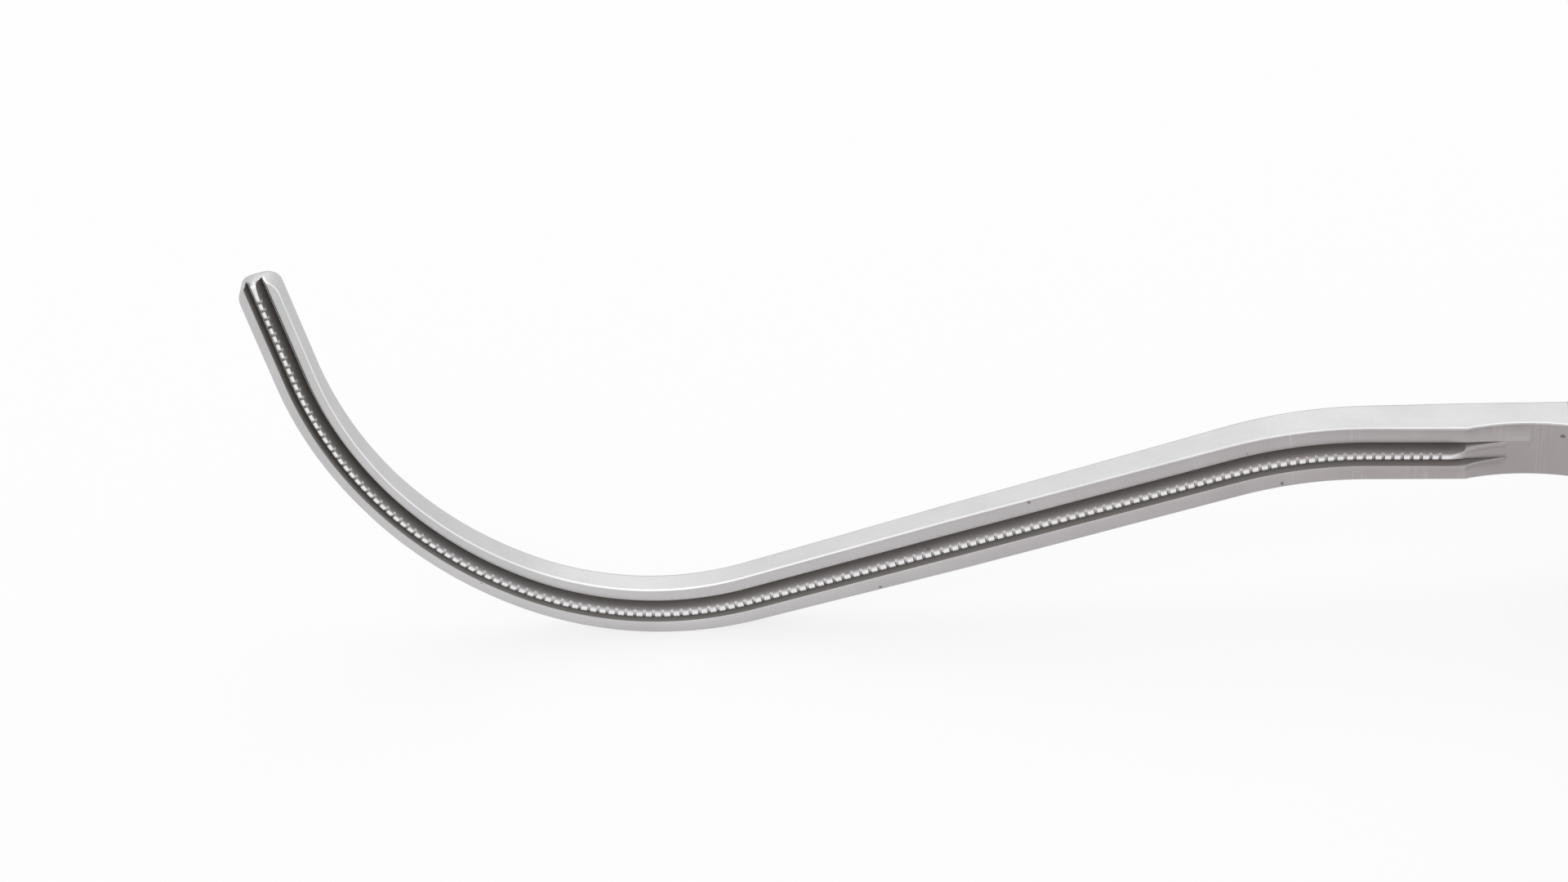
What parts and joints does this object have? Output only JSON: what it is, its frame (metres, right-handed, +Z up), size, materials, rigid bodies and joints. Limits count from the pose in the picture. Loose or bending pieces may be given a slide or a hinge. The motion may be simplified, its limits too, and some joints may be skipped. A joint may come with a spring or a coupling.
{
  "type": "thoracoscopic clamp",
  "caption": "Slim steel surgical clamp with S-curved toothed jaws, a sliding two-half shaft and a ring handle with ratchet; squeezing the rings swings one jaw shut.",
  "frame": {"origin": "on the axis of the shaft, level with the fixed jaw's clamping face and its heel", "axes": "+X along the shaft towards the finger rings, -Y the way the fixed jaw's clamping face looks, +Z up, the way the jaw tips curve"},
  "size_m": [0.3366, 0.1409, 0.0309],
  "materials": {
    "jaw_steel": "satin ground",
    "shaft_steel": "brushed along",
    "handle_steel": "satin blasted",
    "pin_steel": "ground flush"
  },
  "bodies": {
    "fixed_side": {"fixed_jaw": "jaw_steel", "jaw_dowel_front": "pin_steel", "jaw_dowel_rear": "pin_steel", "fixed_shaft_bar": "shaft_steel", "guide_stud_front": "pin_steel", "guide_stud_middle": "pin_steel", "guide_stud_rear": "pin_steel", "jaw_pivot_screw": "pin_steel", "fixed_handle": "handle_steel", "shaft_rivet_front": "pin_steel", "shaft_rivet_rear": "pin_steel", "handle_pivot_screw": "pin_steel", "fixed_ratchet": "handle_steel", "fixed_ratchet_rivet": "pin_steel"},
    "slide": {"sliding_bar": "shaft_steel", "link_pin": "pin_steel"},
    "swinging_jaw": {"moving_jaw": "jaw_steel", "jaw_drive_pin": "pin_steel"},
    "swinging_handle": {"moving_handle": "handle_steel", "handle_pivot_bush": "pin_steel", "moving_ratchet": "handle_steel", "moving_ratchet_rivet": "pin_steel"}
  },
  "joints": [
    {"name": "handle_hinge", "type": "hinge", "parent": "fixed_side", "child": "swinging_handle", "pos_m": [0.146, -0.012, 0], "axis": [0, 0, 1], "range_deg": [0, 30.24]},
    {"name": "bar_slide", "type": "slide", "parent": "fixed_side", "child": "slide", "axis": [1, 0, 0], "range_m": [-0.0054, 0]},
    {"name": "jaw_hinge", "type": "hinge", "parent": "fixed_side", "child": "swinging_jaw", "pos_m": [0.0163, 0.002, 0], "axis": [0, 0, 1], "range_deg": [-85, 0]}
  ],
  "couplings": [
    {"joint": "bar_slide", "follows": "handle_hinge", "m_per_rad": -0.010239},
    {"joint": "jaw_hinge", "follows": "handle_hinge", "ratio": -2.8104}
  ]
}
